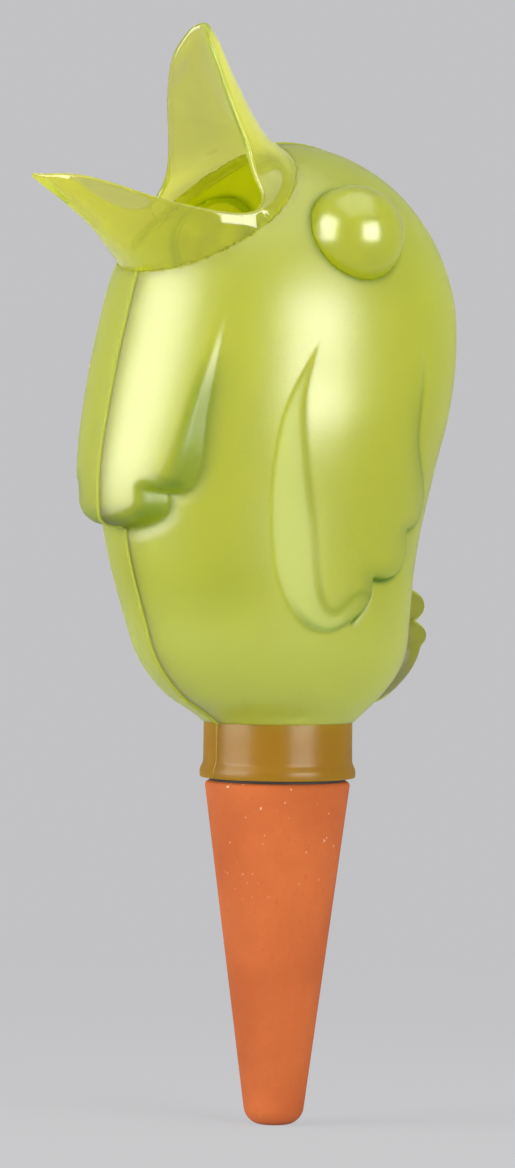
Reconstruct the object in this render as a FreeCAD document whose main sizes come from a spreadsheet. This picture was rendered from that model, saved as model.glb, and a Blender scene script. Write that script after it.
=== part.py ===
import FreeCAD, Part
import Sketcher

import os

# A bird-shaped watering globe: a hollow plastic bird that looks up with its beak wide open,
# on a hollow clay cone that is pushed into the soil. Water poured into the beak fills the
# bird, runs down through the neck into the cone and seeps out through the clay.
#
# Lengths are in millimetres. The origin is the tip of the clay cone, on the axis of the
# neck, with +Z up. The bird faces -Y and its left side is +X.
#
# The bird is two half shells that meet on the plane X = 0. Each holds half of the beak, half
# of the breast feathers, half of the tail, half of the neck, one wing and one eye dome.

SIZES = [
    # The clay cone with its spigot, which stands up inside the neck.
    ("cone_height", 75.3, "cone, from its tip up to its shoulder"),
    ("cone_shoulder_radius", 15.95, "cone, outer radius at the shoulder"),
    ("cone_tip_radius", 6.1, "cone, outer radius at the tip before rounding"),
    ("cone_tip_rounding", 4.2, "rounding of the tip"),
    ("cone_shoulder_rounding", 1.0, "rounding of the shoulder"),
    ("clay_wall", 3.6, "clay around the bore"),
    ("clay_floor", 6.0, "clay under the bore"),
    ("spigot_length", 11.6, "spigot above the shoulder"),
    ("spigot_chamfer", 0.8, "chamfer on the end of the spigot"),
    # The flat seal that lies on the shoulder of the cone.
    ("seal_thickness", 0.7, "flat seal, thickness"),
    ("seal_inset", 0.1, "flat seal, edge inside the cone's flat shoulder"),
    # The plastic shells.
    ("shell_wall", 2.0, "wall of the bird"),
    ("beak_wall", 1.8, "wall of the beak"),
    ("neck_radius", 16.25, "outer radius of the neck"),
    ("neck_length", 12.0, "neck, from its lower edge to the body"),
    ("neck_clearance", 0.2, "gap around the spigot in the neck"),
    ("bead_step", 0.8, "how far the bead stands out from the neck"),
    ("bead_height", 1.6, "straight part of the bead"),
    ("bead_flare", 1.6, "flare from the neck out to the bead"),
    ("body_height", 126.0, "body, from the top of the neck to the crown"),
    ("body_length", 83.5, "body, from breast to back"),
    ("body_width", 69.8, "body, over both sides"),
    # Reliefs on the body.
    ("bib_rise", 6.1, "breast feathers, how far their lower edge stands out"),
    ("bib_half_width", 22.7, "breast feathers, half of their width"),
    ("wing_rise", 2.8, "wing, how far it stands out"),
    ("eye_radius", 10.8, "eye dome"),
    ("eye_seat", 7.5, "eye dome, centre inside the body's greatest half width"),
    ("eye_drop", 19.5, "eye dome, centre below the crown"),
    ("eye_forward", 1.0, "eye dome, centre in front of the neck's axis"),
    ("tail_length", 10.0, "tail, half length of its longest feather"),
    ("tail_half_width", 5.2, "tail, half of its width"),
    # The open beak: a funnel that stands on a tilted ring on the head.
    ("beak_tilt", 36.8, "tilt of the beak's root ring, in degrees"),
    ("beak_root_radius", 22.2, "radius of the root ring"),
    ("beak_root_set", 22.14, "centre of the root ring, behind the foremost point of the breast"),
    ("beak_root_drop", 14.4, "centre of the root ring, below the crown"),
    ("beak_length", 33.0, "beak, from the root ring to its tips"),
    ("beak_overlap", 4.0, "how far the beak's funnel reaches back into the head"),
    ("beak_lap", 0.5, "how far the beak's lower and upper halves run into each other"),
    # How far a cut runs past what it cuts.
    ("cut_overrun", 40.0, "overrun of every cut"),
]

# Level sections of the body, from just above the neck to just below the crown: height above
# the neck as a share of body_height, reach to the front and to the back as shares of
# body_length, half width as a share of body_width, and the shares of bib_rise and wing_rise.
# Where a relief's share is below zero it lies under the skin of the body and doesn't show.
BODY_SECTION_SHARES = [
    (0.017, 0.232, 0.228, 0.254, 1.00, 0.80),
    (0.038, 0.287, 0.264, 0.290, 1.00, 0.80),
    (0.073, 0.349, 0.313, 0.330, 1.00, 0.80),
    (0.108, 0.390, 0.343, 0.357, 1.00, 0.80),
    (0.176, 0.431, 0.356, 0.387, 1.00, 0.85),
    (0.245, 0.465, 0.363, 0.406, 1.00, 1.00),
    (0.315, 0.493, 0.378, 0.422, 1.00, 1.00),
    (0.384, 0.510, 0.401, 0.441, 1.00, 1.00),
    (0.453, 0.517, 0.426, 0.467, 0.87, 1.00),
    (0.521, 0.519, 0.454, 0.489, 0.62, 0.80),
    (0.591, 0.515, 0.472, 0.500, 0.38, 0.40),
    (0.660, 0.504, 0.479, 0.498, 0.20, -0.15),
    (0.728, 0.490, 0.472, 0.486, -0.05, -0.30),
    (0.783, 0.466, 0.449, 0.461, -0.15, -0.30),
    (0.839, 0.426, 0.410, 0.421, -0.15, -0.30),
    (0.886, 0.375, 0.359, 0.370, -0.15, -0.30),
    (0.926, 0.312, 0.299, 0.309, -0.15, -0.30),
    (0.960, 0.234, 0.224, 0.231, -0.15, -0.30),
    (0.985, 0.144, 0.138, 0.143, -0.10, -0.20),
    (1.000, 0.032, 0.027, 0.029, -0.10, -0.20),
]

# The foremost point of the breast, as a share of body_length.
BREAST_REACH_SHARE = 0.519

# Lowest and highest level that the reliefs are skinned over, as shares of body_height.
RELIEF_FOOT_SHARE = 0.10
RELIEF_TOP_SHARE = 0.85

# Lower half of the beak, at right angles to the root ring: height as a share of beak_length,
# reach to the keel and half width as shares of beak_root_radius.
LOWER_BEAK_SHARES = [
    (0.000, 1.000, 0.982),
    (0.182, 1.060, 0.935),
    (0.303, 1.105, 0.880),
    (0.485, 1.180, 0.745),
    (0.606, 1.243, 0.610),
    (0.727, 1.312, 0.460),
    (0.848, 1.385, 0.305),
    (1.000, 1.470, 0.162),
]

# Upper half of the beak, in the same way, with the reach to its ridge.
UPPER_BEAK_SHARES = [
    (0.000, 1.000, 0.982),
    (0.110, 0.945, 0.850),
    (0.303, 0.910, 0.761),
    (0.515, 0.945, 0.707),
    (0.727, 1.000, 0.644),
    (0.879, 1.060, 0.540),
    (1.000, 1.090, 0.340),
]

# Rim of the open beak seen from the side: reach towards the keel as a share of
# beak_root_radius and height above the root ring as a share of beak_length. It runs from the
# lower tip down round the corner of the mouth and up to the upper tip.
BEAK_RIM_SHARES = [
    (1.430, 1.000),
    (1.360, 0.961),
    (1.144, 0.855),
    (0.968, 0.727),
    (0.725, 0.479),
    (0.383, 0.188),
    (0.135, 0.048),
    (0.000, 0.018),
    (-0.125, 0.045),
    (-0.240, 0.140),
    (-0.383, 0.309),
    (-0.509, 0.515),
    (-0.705, 0.788),
    (-0.810, 0.897),
    (-0.945, 0.979),
    (-0.990, 1.000),
]

# Edge of the breast feathers seen from the front, in two scallops: shares of bib_half_width
# and of body_height.
BIB_SCALLOP_SHARES = [
    [(-0.250, 0.348), (0.000, 0.342), (0.350, 0.350), (0.600, 0.373), (0.652, 0.404)],
    [(0.652, 0.404), (0.760, 0.408), (0.863, 0.429), (0.947, 0.524), (0.987, 0.616), (1.000, 0.711)],
]
BIB_TOP_SHARE = 0.800

# Edge of the hollow behind the breast feathers, in the same shares.
BIB_HOLLOW_SHARES = [
    (-0.300, 0.378),
    (0.250, 0.376),
    (0.520, 0.400),
    (0.740, 0.455),
    (0.840, 0.540),
    (0.870, 0.640),
    (0.820, 0.740),
    (0.400, 0.790),
    (-0.300, 0.780),
]

# Edge of the wing seen from the side, in three scallops: reach to the front as a share of
# body_length and height as a share of body_height.
WING_SCALLOP_SHARES = [
    [(0.060, 0.700), (0.189, 0.606), (0.249, 0.467), (0.253, 0.385), (0.217, 0.261),
     (0.168, 0.203), (0.109, 0.169), (0.060, 0.167), (-0.001, 0.184), (-0.045, 0.216), (-0.048, 0.256)],
    [(-0.048, 0.256), (-0.099, 0.250), (-0.150, 0.262), (-0.183, 0.291), (-0.175, 0.335)],
    [(-0.175, 0.335), (-0.229, 0.346), (-0.254, 0.378), (-0.218, 0.437), (-0.170, 0.501),
     (-0.166, 0.560), (-0.140, 0.640), (0.060, 0.700)],
]

# Feathers of the tail, each an ellipsoid: centre to the back as a share of body_length,
# centre height as a share of body_height, then its half length, half height and half width
# as shares of tail_length, tail_length and tail_half_width, and its slope in degrees.
TAIL_FEATHER_SHARES = [
    (0.355, 0.198, 0.93, 0.42, 0.85, 0.0),
    (0.350, 0.146, 1.02, 0.40, 1.00, 0.0),
    (0.360, 0.094, 1.00, 0.42, 0.90, 45.0),
]


def build_sheet(doc):
    """Put every driving size into the spreadsheet under its own alias."""
    sheet = doc.addObject("Spreadsheet::Sheet", "Sizes")
    for row, (alias, value, note) in enumerate(SIZES, start=1):
        sheet.set(f"A{row}", note)
        sheet.set(f"B{row}", str(value))
        sheet.setAlias(f"B{row}", alias)
    doc.recompute()
    return sheet


def place(item, x, y, z, turns=()):
    """Bind an object's place; x, y and z are expressions and turns are (axis, angle) pairs."""
    rotation = " * ".join(f"rotation(vector({axis}); {angle})" for axis, angle in turns)
    if not rotation:
        rotation = "rotation(vector(0; 0; 1); 0)"
    item.setExpression("Placement", f"placement(vector({x}; {y}; {z}); {rotation})")


def solid(doc, kind, name, **sizes):
    """Add one of the plain solids, with each of its sizes bound to an expression."""
    item = doc.addObject(kind, name)
    for prop, expression in sizes.items():
        item.setExpression(prop, expression)
    return item


def boolean(doc, kind, name, *items):
    """Combine objects at once: Part::MultiFuse or Part::MultiCommon."""
    result = doc.addObject(kind, name)
    result.Shapes = list(items)
    result.Refine = False
    return result


def in_turn(doc, kind, name, base, tools):
    """Join (Part::Fuse) or cut (Part::Cut) the tools one after the other; the last has the name."""
    for number, tool in enumerate(tools, start=1):
        result = doc.addObject(kind, name if number == len(tools) else f"{name}_{number}")
        result.Base = base
        result.Tool = tool
        result.Refine = False
        base = result
    return base


def loft(doc, name, sections):
    """Skin a row of sections into one smooth solid."""
    skin = doc.addObject("Part::Loft", name)
    skin.Sections = sections
    skin.Solid = True
    return skin


def ellipse(doc, name, major, minor):
    """An ellipse with both radii bound; it starts large so that major stays over minor."""
    ring = doc.addObject("Part::Ellipse", name)
    ring.setExpression("MajorRadius", major)
    ring.setExpression("MinorRadius", minor)
    return ring


BODY_BOTTOM = "(Sizes.cone_height + Sizes.seal_thickness + Sizes.neck_length)"
CROWN = f"({BODY_BOTTOM} + Sizes.body_height)"
BEAK_ROOT_FORWARD = f"(Sizes.body_length * {BREAST_REACH_SHARE} - Sizes.beak_root_set)"


def body_ring(doc, name, number, inset="0", bib="0", wing="0"):
    """One level section of the body, inset evenly, with a relief's rise added to its reach."""
    level, front, back, side, bib_share, wing_share = BODY_SECTION_SHARES[number]
    front = f"(Sizes.body_length * {front} - {inset} + {bib} * {bib_share})"
    back = f"(Sizes.body_length * {back} - {inset})"
    side = f"(Sizes.body_width * {side} - {inset} + {wing} * {wing_share})"
    height = f"{BODY_BOTTOM} + {inset} + (Sizes.body_height - 2 * {inset}) * {level}"
    ring = ellipse(doc, f"{name}_ring_{number}", f"({front} + {back}) / 2", side)
    place(ring, "0", f"({back} - {front}) / 2", height, [("0; 0; 1", "90")])
    return ring


def body_skin(doc, name, inset):
    """The body's smooth form from the neck to the crown, inset evenly."""
    foot = ellipse(doc, f"{name}_foot", f"Sizes.neck_radius - {inset}", f"Sizes.neck_radius - {inset}")
    place(foot, "0", "0", f"{BODY_BOTTOM} + {inset}", [("0; 0; 1", "90")])
    rings = [body_ring(doc, name, number, inset) for number in range(len(BODY_SECTION_SHARES))]
    return loft(doc, name, [foot] + rings)


def relief_skin(doc, name, **rise):
    """The body's form with a relief's rise added, over the sections that the reliefs reach."""
    numbers = [number for number, shares in enumerate(BODY_SECTION_SHARES)
               if RELIEF_FOOT_SHARE < shares[0] < RELIEF_TOP_SHARE]
    return loft(doc, name, [body_ring(doc, name, number, **rise) for number in numbers])


def left_of_middle(doc, name, item):
    """Keep only what lies on the bird's left of the middle plane."""
    side = solid(doc, "Part::Box", f"{name}_side", Length="2 * Sizes.body_width",
                 Width="4 * Sizes.body_length", Height="3 * Sizes.body_height")
    place(side, "0", "-2 * Sizes.body_length", "0")
    return boolean(doc, "Part::MultiCommon", name, item, side)


def prism(doc, name, edges, direction):
    """A straight solid over an outline."""
    item = doc.addObject("Part::Feature", name)
    item.Shape = Part.Face(Part.Wire(edges)).extrude(direction)
    return item


def smooth_edge(points, closed=False):
    """An edge that runs smoothly through points."""
    curve = Part.BSplineCurve()
    curve.interpolate(Points=points, PeriodicFlag=closed)
    return curve.toShape()


def straight_edges(points):
    """The edges of a straight chain through points."""
    return [Part.LineSegment(start, end).toShape() for start, end in zip(points, points[1:])]


def bib_point(sheet, side, level):
    """A point of the breast feathers seen from the front, from its shares."""
    bottom = sheet.cone_height + sheet.seal_thickness + sheet.neck_length
    return FreeCAD.Vector(sheet.bib_half_width * side, 0, bottom + sheet.body_height * level)


def bib_prism(doc, sheet):
    """The outline of the breast feathers, run forward through the breast."""
    scallops = [[bib_point(sheet, *shares) for shares in scallop] for scallop in BIB_SCALLOP_SHARES]
    closing = [scallops[-1][-1],
               bib_point(sheet, BIB_SCALLOP_SHARES[-1][-1][0], BIB_TOP_SHARE),
               bib_point(sheet, BIB_SCALLOP_SHARES[0][0][0], BIB_TOP_SHARE),
               scallops[0][0]]
    edges = [smooth_edge(points) for points in scallops] + straight_edges(closing)
    return prism(doc, "bib_outline", edges, FreeCAD.Vector(0, -sheet.body_length, 0))


def bib_hollow_prism(doc, sheet):
    """The outline of the hollow behind the breast feathers, run forward through the breast."""
    loop = smooth_edge([bib_point(sheet, *shares) for shares in BIB_HOLLOW_SHARES], closed=True)
    return prism(doc, "bib_hollow_outline", [loop], FreeCAD.Vector(0, -sheet.body_length, 0))


def wing_prism(doc, sheet):
    """The outline of the wing, run out through the bird's left side."""
    bottom = sheet.cone_height + sheet.seal_thickness + sheet.neck_length
    edges = []
    for scallop in WING_SCALLOP_SHARES:
        edges.append(smooth_edge([
            FreeCAD.Vector(0, -sheet.body_length * forward, bottom + sheet.body_height * level)
            for forward, level in scallop]))
    return prism(doc, "wing_outline", edges, FreeCAD.Vector(sheet.body_width, 0, 0))


def beak_point(sheet, keelward, sideways, upward):
    """A point given from the centre of the beak's root ring, in the directions of that ring."""
    tilt = FreeCAD.Rotation(FreeCAD.Vector(1, 0, 0), sheet.beak_tilt)
    bottom = sheet.cone_height + sheet.seal_thickness + sheet.neck_length
    forward = sheet.body_length * BREAST_REACH_SHARE - sheet.beak_root_set
    centre = FreeCAD.Vector(0, -forward, bottom + sheet.body_height - sheet.beak_root_drop)
    return centre + tilt.multVec(FreeCAD.Vector(sideways, -keelward, upward))


def mouth_prism(doc, sheet):
    """The open mouth seen from the side, run across the whole beak."""
    radius = sheet.beak_root_radius
    side = -2 * radius
    rim = [beak_point(sheet, radius * reach, side, sheet.beak_length * level)
           for reach, level in BEAK_RIM_SHARES]
    over = sheet.beak_length + sheet.cut_overrun
    closing = [rim[-1],
               beak_point(sheet, radius * BEAK_RIM_SHARES[-1][0], side, over),
               beak_point(sheet, radius * BEAK_RIM_SHARES[0][0], side, over),
               rim[0]]
    return prism(doc, "mouth_outline", [smooth_edge(rim)] + straight_edges(closing),
                 FreeCAD.Vector(4 * radius, 0, 0))


def beak_funnel(doc, name, shares, inset, keelward):
    """The left half of the lower or the upper beak as a solid, inset evenly."""
    tilt = ("1; 0; 0", "Sizes.beak_tilt")
    turn = ("0; 0; 1", "-90")
    root_height = f"({CROWN} - Sizes.beak_root_drop)"

    def at_level(item, upward, turns):
        place(item, "0", f"-{BEAK_ROOT_FORWARD} - ({upward}) * sin(Sizes.beak_tilt)",
              f"{root_height} + ({upward}) * cos(Sizes.beak_tilt)", turns)

    levels = [("-Sizes.beak_overlap", shares[0][1], shares[0][2])]
    levels += [(f"Sizes.beak_length * {level}", reach, side) for level, reach, side in shares]
    rings = []
    for number, (upward, reach, side) in enumerate(levels):
        ring = ellipse(doc, f"{name}_ring_{number}", f"Sizes.beak_root_radius * {reach} - {inset}",
                       f"Sizes.beak_root_radius * {side} - {inset}")
        at_level(ring, upward, [tilt, turn])
        rings.append(ring)
    whole = loft(doc, f"{name}_whole", rings)
    reach = "(3 * Sizes.beak_root_radius)"
    half = solid(doc, "Part::Box", f"{name}_half", Length=f"2 * {reach}", Width=reach,
                 Height="Sizes.beak_length + Sizes.beak_overlap + Sizes.cut_overrun")
    along = f"({reach} - Sizes.beak_lap)" if keelward else "Sizes.beak_lap"
    place(half, f"-{reach}",
          f"-{BEAK_ROOT_FORWARD} + Sizes.beak_overlap * sin(Sizes.beak_tilt) - {along} * cos(Sizes.beak_tilt)",
          f"{root_height} - Sizes.beak_overlap * cos(Sizes.beak_tilt) - {along} * sin(Sizes.beak_tilt)",
          [tilt])
    return boolean(doc, "Part::MultiCommon", name, whole, half)


def eye_ball(doc, name, radius):
    """The sphere of the left eye dome."""
    ball = solid(doc, "Part::Sphere", name, Radius=radius)
    place(ball, "Sizes.body_width / 2 - Sizes.eye_seat", "-Sizes.eye_forward", f"{CROWN} - Sizes.eye_drop")
    return ball


def tail_feathers(doc):
    """The feathers of the tail, stacked on the middle plane of the back."""
    feathers = []
    for number, (back, level, length, height, width, slope) in enumerate(TAIL_FEATHER_SHARES):
        feather = solid(doc, "Part::Ellipsoid", f"tail_feather_{number}",
                        Radius1=f"Sizes.tail_length * {height}", Radius2=f"Sizes.tail_half_width * {width}",
                        Radius3=f"Sizes.tail_length * {length}")
        place(feather, "0", f"Sizes.body_length * {back}", f"{BODY_BOTTOM} + Sizes.body_height * {level}",
              [("1; 0; 0", str(slope))])
        feathers.append(feather)
    return feathers


def cylinder(doc, name, radius, height, bottom):
    """An upright cylinder on the neck's axis."""
    item = solid(doc, "Part::Cylinder", name, Radius=radius, Height=height)
    place(item, "0", "0", bottom)
    return item


def cone(doc, name, lower_radius, upper_radius, height, bottom):
    """An upright cone on the neck's axis."""
    item = solid(doc, "Part::Cone", name, Radius1=lower_radius, Radius2=upper_radius, Height=height)
    place(item, "0", "0", bottom)
    return item


def relief(doc, name, outline, inset="0", **rise):
    """A relief as a solid: the body's raised form within an outline."""
    skin = relief_skin(doc, f"{name}_skin", inset=inset, **rise)
    return boolean(doc, "Part::MultiCommon", name, outline, skin)


def build_shells(doc, sheet):
    """The two half shells of the bird."""
    neck_bottom = "(Sizes.cone_height + Sizes.seal_thickness)"
    bead_radius = "Sizes.neck_radius + Sizes.bead_step"
    bore_radius = "Sizes.neck_radius - Sizes.shell_wall"
    bib = relief(doc, "bib", bib_prism(doc, sheet), bib="Sizes.bib_rise")
    wing = relief(doc, "wing", wing_prism(doc, sheet), wing="Sizes.wing_rise")
    neck = cylinder(doc, "neck", "Sizes.neck_radius", "Sizes.neck_length + Sizes.shell_wall", neck_bottom)
    bead = cylinder(doc, "bead", bead_radius, "Sizes.bead_height", neck_bottom)
    flare = cone(doc, "bead_flare", bead_radius, "Sizes.neck_radius", "Sizes.bead_flare",
                 f"{neck_bottom} + Sizes.bead_height")
    body = boolean(doc, "Part::MultiFuse", "bird_form", body_skin(doc, "body", "0"), bib, wing,
                   eye_ball(doc, "eye", "Sizes.eye_radius"), neck, bead, flare, *tail_feathers(doc))
    beaks = [beak_funnel(doc, "lower_beak", LOWER_BEAK_SHARES, "0", True),
             beak_funnel(doc, "upper_beak", UPPER_BEAK_SHARES, "0", False)]
    outside = in_turn(doc, "Part::Fuse", "outside", body, beaks)

    bore = cylinder(doc, "neck_bore", bore_radius, "Sizes.neck_length + 2 * Sizes.shell_wall",
                    f"{neck_bottom} - Sizes.shell_wall")
    hollow = boolean(doc, "Part::MultiFuse", "hollow", body_skin(doc, "hollow_body", "Sizes.shell_wall"),
                     eye_ball(doc, "eye_hollow", "Sizes.eye_radius - Sizes.shell_wall"), bore,
                     relief(doc, "bib_hollow", bib_hollow_prism(doc, sheet), "Sizes.shell_wall",
                            bib="Sizes.bib_rise"))
    throats = [beak_funnel(doc, "lower_throat", LOWER_BEAK_SHARES, "Sizes.beak_wall", True),
               beak_funnel(doc, "upper_throat", UPPER_BEAK_SHARES, "Sizes.beak_wall", False)]
    opened = in_turn(doc, "Part::Cut", "opened", outside, [hollow] + throats + [mouth_prism(doc, sheet)])
    left = left_of_middle(doc, "left_shell", opened)
    right = doc.addObject("Part::Mirroring", "right_shell")
    right.Source = left
    right.Normal = FreeCAD.Vector(1, 0, 0)
    return [left, right]


def turned_body(doc, name, points):
    """A piece turned about the vertical axis from an outline of (radius, height) expressions."""
    body = doc.addObject("PartDesign::Body", name)
    plane = next(item for item in body.Origin.OriginFeatures if item.Role == "XZ_Plane")
    sketch = body.newObject("Sketcher::SketchObject", f"{name}_outline")
    sketch.AttachmentSupport = [(plane, "")]
    sketch.MapMode = "FlatFace"
    corners = [FreeCAD.Vector(sketch.evalExpression(radius), sketch.evalExpression(height), 0)
               for radius, height in points]
    count = len(points)
    for number in range(count):
        line = Part.LineSegment(corners[number], corners[(number + 1) % count])
        sketch.addGeometry(line, False)
    for number, (radius, height) in enumerate(points):
        sketch.addConstraint(Sketcher.Constraint("Coincident", number - 1 if number else count - 1, 2, number, 1))
        for kind, expression, axis in (("DistanceX", radius, -2), ("DistanceY", height, -1)):
            if expression == "0":
                sketch.addConstraint(Sketcher.Constraint("PointOnObject", number, 1, axis))
                continue
            value = sketch.evalExpression(expression)
            index = sketch.addConstraint(Sketcher.Constraint(kind, -1, 1, number, 1, value))
            sketch.setExpression(f"Constraints[{index}]", expression)
    turn = body.newObject("PartDesign::Revolution", f"{name}_turn")
    turn.Profile = sketch
    turn.ReferenceAxis = (sketch, ["V_Axis"])
    doc.recompute()
    return body


def ring_edges(shape, radius, height):
    """Names of the circular edges about the vertical axis that have this radius and height."""
    names = []
    for number, edge in enumerate(shape.Edges, start=1):
        curve = edge.Curve
        if isinstance(curve, Part.Circle) and abs(curve.Radius - radius) + abs(curve.Center.z - height) < 1e-6:
            names.append(f"Edge{number}")
    return names


def build_spike(doc, sheet):
    """The clay cone and the flat seal on its shoulder."""
    spigot_radius = "(Sizes.neck_radius - Sizes.shell_wall - Sizes.neck_clearance)"
    bore_radius = f"({spigot_radius} - Sizes.clay_wall)"
    spigot_top = "Sizes.cone_height + Sizes.spigot_length"
    taper = "((Sizes.cone_shoulder_radius - Sizes.cone_tip_radius) / Sizes.cone_height)"
    bore_tip_radius = f"(Sizes.cone_tip_radius + {taper} * Sizes.clay_floor - Sizes.clay_wall)"
    bore_bend = f"Sizes.clay_floor + ({bore_radius} - {bore_tip_radius}) / {taper}"
    clay_cone = turned_body(doc, "clay_cone", [
        ("0", "0"),
        ("Sizes.cone_tip_radius", "0"),
        ("Sizes.cone_shoulder_radius", "Sizes.cone_height"),
        (spigot_radius, "Sizes.cone_height"),
        (spigot_radius, spigot_top),
        (bore_radius, spigot_top),
        (bore_radius, bore_bend),
        (bore_tip_radius, "Sizes.clay_floor"),
        ("0", "Sizes.clay_floor"),
    ])
    top = sheet.cone_height + sheet.spigot_length
    outer = sheet.neck_radius - sheet.shell_wall - sheet.neck_clearance
    roundings = [
        ("PartDesign::Fillet", "tip_rounding", "Radius", "Sizes.cone_tip_rounding", sheet.cone_tip_radius, 0),
        ("PartDesign::Fillet", "shoulder_rounding", "Radius", "Sizes.cone_shoulder_rounding",
         sheet.cone_shoulder_radius, sheet.cone_height),
        ("PartDesign::Chamfer", "spigot_chamfer", "Size", "Sizes.spigot_chamfer", outer, top),
    ]
    for kind, name, prop, expression, radius, height in roundings:
        base = clay_cone.Tip
        step = clay_cone.newObject(kind, name)
        step.Base = (base, ring_edges(base.Shape, radius, height))
        step.setExpression(prop, expression)
        doc.recompute()

    seal_bore = "Sizes.neck_radius - Sizes.shell_wall"
    seal_edge = "Sizes.cone_shoulder_radius - Sizes.cone_shoulder_rounding - Sizes.seal_inset"
    seal_top = "Sizes.cone_height + Sizes.seal_thickness"
    neck_seal = turned_body(doc, "neck_seal", [
        (seal_bore, "Sizes.cone_height"),
        (seal_edge, "Sizes.cone_height"),
        (seal_edge, seal_top),
        (seal_bore, seal_top),
    ])
    return [clay_cone, neck_seal]


def main():
    doc = FreeCAD.newDocument("WateringBird")
    sheet = build_sheet(doc)
    nodes = build_spike(doc, sheet) + build_shells(doc, sheet)
    doc.recompute()
    for item in doc.Objects:
        if "Invalid" in item.State or "Error" in item.State:
            raise RuntimeError(f"{item.Label} failed: {item.State}")
    for item in nodes:
        shape = item.Shape
        if shape.isNull() or not shape.isValid():
            raise RuntimeError(f"{item.Label} has no valid shape")
        print(item.Label, len(shape.Solids), round(shape.Volume), shape.optimalBoundingBox(False, False))
    os.makedirs("parts", exist_ok=True)
    for item in nodes:
        item.Shape.exportStep(f"parts/{item.Label}.step")


main()
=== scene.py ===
import math

import bmesh
import bpy
import numpy as np
from mathutils import Matrix, Vector


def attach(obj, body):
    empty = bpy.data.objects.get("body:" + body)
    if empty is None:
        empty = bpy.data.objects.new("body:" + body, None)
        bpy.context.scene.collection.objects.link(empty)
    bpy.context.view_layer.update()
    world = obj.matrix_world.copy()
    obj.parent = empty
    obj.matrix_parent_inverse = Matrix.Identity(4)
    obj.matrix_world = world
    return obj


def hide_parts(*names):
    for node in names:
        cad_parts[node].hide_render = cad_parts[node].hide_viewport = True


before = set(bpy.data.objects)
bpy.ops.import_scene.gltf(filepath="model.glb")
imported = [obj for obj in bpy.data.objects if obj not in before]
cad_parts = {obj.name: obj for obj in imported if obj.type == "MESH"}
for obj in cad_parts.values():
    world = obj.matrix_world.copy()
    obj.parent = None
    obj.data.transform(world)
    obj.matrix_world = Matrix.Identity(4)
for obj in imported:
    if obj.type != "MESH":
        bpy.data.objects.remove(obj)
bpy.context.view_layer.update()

# A watering globe in the shape of a bird. Its plastic skin is worked out as a field: a function
# of a place that is below zero inside the plastic, and about a distance in millimetres near it.
# The shells, the beak and the eyes are skinned from such fields.
#
# Sizes are in millimetres, +Z is up, the bird faces -Y and its left side is +X.

MM = 0.001

# How fine the skins of the body and of the beak and eyes are, the steps along lines and slopes,
# how far a point moves at once, and how near in metres two points are one.
BODY_CELL = 0.68
FINE_CELL = 0.42
LINE_STEP = 0.05
SLOPE_STEP = 0.02
LONGEST_MOVE = 0.4
TOUCHING = 1e-7
FAR = 1e9

BODY_FOOT = 88.0
BODY_HEIGHT = 126.0
BODY_LENGTH = 83.5
BODY_WIDTH = 69.8
NECK_RADIUS = 16.25
NECK_ROUND = 0.5
WALL = 2.0
BEAK_WALL = 1.8
BORE_REACH = 5
EYE_CENTRE = (27.4, -1.0, 194.5)
EYE_RADIUS = 10.8
TAIL_FILLET = 0.9
EDGE_ROUND = 0.3
FINE_ROUND = 0.2
# How far the shell reaches under the rims of the eyes and the beak.
SEAT = 0.4

# The bead on the seam: how thick it is, how far beside the middle it runs, the length of its
# steps, how near to the outline it keeps, and how many corners its shortest run has.
SEAM_RADIUS = 0.45
SEAM_SIDE = 0.35
SEAM_SPACING = 0.8
SEAM_NEAR = 0.3
SEAM_SHORTEST = 25

# The neck's wall in section: radius and height.
NECK_OUTLINE = [(14.25, 76.0), (17.0, 76.0), (17.05, 77.7), (16.3, 79.3),
                (16.25, 83.0), (16.25, 88.6), (14.25, 88.6)]

# Level sections of the body: height as a share of its height, reach to the front and to the
# back as shares of its length, and half width as a share of its width.
BODY_SECTIONS = [
    (0.000, 0.195, 0.195, 0.233), (0.017, 0.232, 0.228, 0.254), (0.038, 0.287, 0.264, 0.290),
    (0.073, 0.349, 0.313, 0.330), (0.108, 0.390, 0.343, 0.357), (0.176, 0.431, 0.356, 0.387),
    (0.245, 0.465, 0.363, 0.406), (0.315, 0.493, 0.378, 0.422), (0.384, 0.510, 0.401, 0.441),
    (0.453, 0.517, 0.426, 0.467), (0.521, 0.519, 0.454, 0.489), (0.591, 0.515, 0.472, 0.500),
    (0.660, 0.504, 0.479, 0.498), (0.728, 0.490, 0.472, 0.486), (0.783, 0.466, 0.449, 0.461),
    (0.839, 0.426, 0.410, 0.421), (0.886, 0.375, 0.359, 0.370), (0.926, 0.312, 0.299, 0.309),
    (0.960, 0.234, 0.224, 0.231), (0.985, 0.144, 0.138, 0.143), (1.000, 0.032, 0.027, 0.029),
]

# The breast feathers: height and how far they stand out.
BIB_RISE = [(110, 6.1), (136.4, 6.1), (145.1, 5.3), (153.6, 3.8), (162.5, 2.3), (171.2, 1.2),
            (177.0, 0.35), (183.0, 0.0), (220, 0.0)]
# Their edge from the middle of the breast to the side and up, as (sideways, height).
BIB_EDGE = [
    [(-6.0, 131.9), (0.0, 131.1), (7.9, 132.1), (12.2, 135.0), (12.6, 139.2)],
    [(12.6, 139.2), (15.9, 139.2), (18.4, 142.6), (20.7, 154.0), (22.1, 165.6), (22.8, 178.0),
     (23.0, 190.0)],
]

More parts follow.
